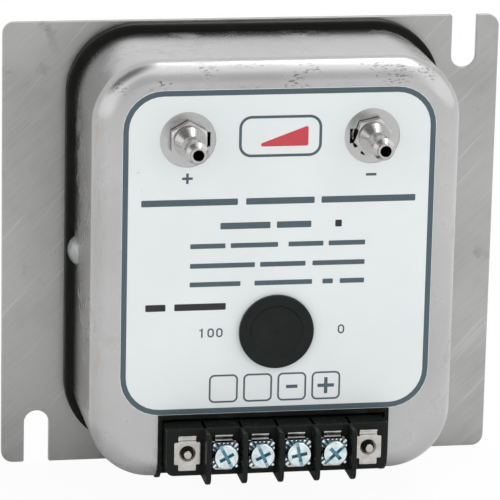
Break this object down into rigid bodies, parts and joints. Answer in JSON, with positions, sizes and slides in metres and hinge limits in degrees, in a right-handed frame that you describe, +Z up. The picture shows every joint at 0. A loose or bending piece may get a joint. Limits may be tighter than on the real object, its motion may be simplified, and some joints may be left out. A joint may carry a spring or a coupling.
{
  "type": "differential pressure transmitter",
  "caption": "Wall-mounted differential pressure transmitter: drawn steel case on a slotted plate, barbed high and low ports, plugged adjusters and a barrier terminal strip.",
  "frame": {"origin": "centre of the mounting plate's back face", "axes": "+X to the right seen from the front, +Y into the wall, +Z up; the front faces -Y"},
  "size_m": [0.1396, 0.0624, 0.127],
  "materials": {
    "plate": "mill finish, fine diagonal scratches",
    "gasket": "moulded rubber",
    "case": "satin drawn stainless steel",
    "label": "printed film, satin",
    "edging": "matt channel edging",
    "fitting": "turned stainless steel",
    "seal": "flat rubber",
    "plug": "satin black moulding",
    "block": "phenolic moulding",
    "clip": "nickel-plated sheet",
    "zinc_steel": "bright zinc plating",
    "board": "solder-masked glass laminate",
    "post": "turned",
    "trimmer": "moulded",
    "brass": "turned",
    "capsule": "turned stainless steel",
    "bushing": "fused seal",
    "tube": "translucent silicone",
    "bracket": "folded sheet",
    "rivet": "polished dome"
  },
  "bodies": {
    "transmitter": {"base_gasket": "gasket", "board_posts": "post", "board_screws": "zinc_steel", "case": "case", "circuit_board": "board", "cutout_edging": "edging", "electrode": "brass", "electrode_bushing": "bushing", "face_label": "label", "high_port_barb": "fitting", "high_port_nut": "fitting", "high_port_seal": "seal", "high_pressure_tube": "tube", "left_case_bracket": "bracket", "left_case_rivet": "rivet", "low_port_barb": "fitting", "low_port_nut": "fitting", "low_port_seal": "seal", "low_pressure_tube": "tube", "mounting_plate": "plate", "right_case_bracket": "bracket", "right_case_rivet": "rivet", "sensing_diaphragm": "capsule", "sensor_front_cover": "capsule", "sensor_rear_cover": "capsule", "sensor_screws": "zinc_steel", "span_trimmer": "trimmer", "strip_pins": "zinc_steel", "terminal_block": "block", "terminal_clip_1": "clip", "terminal_clip_2": "clip", "terminal_clip_3": "clip", "terminal_clip_4": "clip", "terminal_clip_5": "clip", "terminal_clip_6": "clip", "zero_trimmer": "trimmer"},
    "plug": {"adjustment_plug": "plug"},
    "span_adjuster": {"span_rotor": "brass"},
    "zero_adjuster": {"zero_rotor": "brass"},
    "clamp_1": {"clamp_plate_1": "zinc_steel"},
    "screw_1": {"terminal_screw_1": "zinc_steel"},
    "clamp_2": {"clamp_plate_2": "zinc_steel"},
    "screw_2": {"terminal_screw_2": "zinc_steel"},
    "clamp_3": {"clamp_plate_3": "zinc_steel"},
    "screw_3": {"terminal_screw_3": "zinc_steel"},
    "clamp_4": {"clamp_plate_4": "zinc_steel"},
    "screw_4": {"terminal_screw_4": "zinc_steel"}
  },
  "joints": [
    {"name": "plug_pull", "type": "slide", "parent": "transmitter", "child": "plug", "axis": [0, -1, 0], "range_m": [0, 0.012]},
    {"name": "span_turn", "type": "hinge", "parent": "transmitter", "child": "span_adjuster", "pos_m": [-0.0039, -0.0385, -0.0139], "axis": [0, 1, 0], "range_deg": [-135, 135]},
    {"name": "zero_turn", "type": "hinge", "parent": "transmitter", "child": "zero_adjuster", "pos_m": [0.0039, -0.0385, -0.0139], "axis": [0, 1, 0], "range_deg": [-135, 135]},
    {"name": "clamp_1_close", "type": "slide", "parent": "transmitter", "child": "clamp_1", "axis": [0, 1, 0], "range_m": [0, 0.00179]},
    {"name": "screw_1_turn", "type": "hinge", "parent": "clamp_1", "child": "screw_1", "pos_m": [-0.015, -0.05474, -0.04565], "axis": [0, 1, 0], "range_deg": [0, 810]},
    {"name": "clamp_2_close", "type": "slide", "parent": "transmitter", "child": "clamp_2", "axis": [0, 1, 0], "range_m": [0, 0.00179]},
    {"name": "screw_2_turn", "type": "hinge", "parent": "clamp_2", "child": "screw_2", "pos_m": [-0.005, -0.05474, -0.04565], "axis": [0, 1, 0], "range_deg": [0, 810]},
    {"name": "clamp_3_close", "type": "slide", "parent": "transmitter", "child": "clamp_3", "axis": [0, 1, 0], "range_m": [0, 0.00179]},
    {"name": "screw_3_turn", "type": "hinge", "parent": "clamp_3", "child": "screw_3", "pos_m": [0.005, -0.05474, -0.04565], "axis": [0, 1, 0], "range_deg": [0, 810]},
    {"name": "clamp_4_close", "type": "slide", "parent": "transmitter", "child": "clamp_4", "axis": [0, 1, 0], "range_m": [0, 0.00179]},
    {"name": "screw_4_turn", "type": "hinge", "parent": "clamp_4", "child": "screw_4", "pos_m": [0.015, -0.05474, -0.04565], "axis": [0, 1, 0], "range_deg": [0, 810]}
  ],
  "couplings": [
    {"joint": "screw_1_turn", "follows": "clamp_1_close", "rad_per_m": 7913.3},
    {"joint": "screw_2_turn", "follows": "clamp_2_close", "rad_per_m": 7913.3},
    {"joint": "screw_3_turn", "follows": "clamp_3_close", "rad_per_m": 7913.3},
    {"joint": "screw_4_turn", "follows": "clamp_4_close", "rad_per_m": 7913.3}
  ]
}
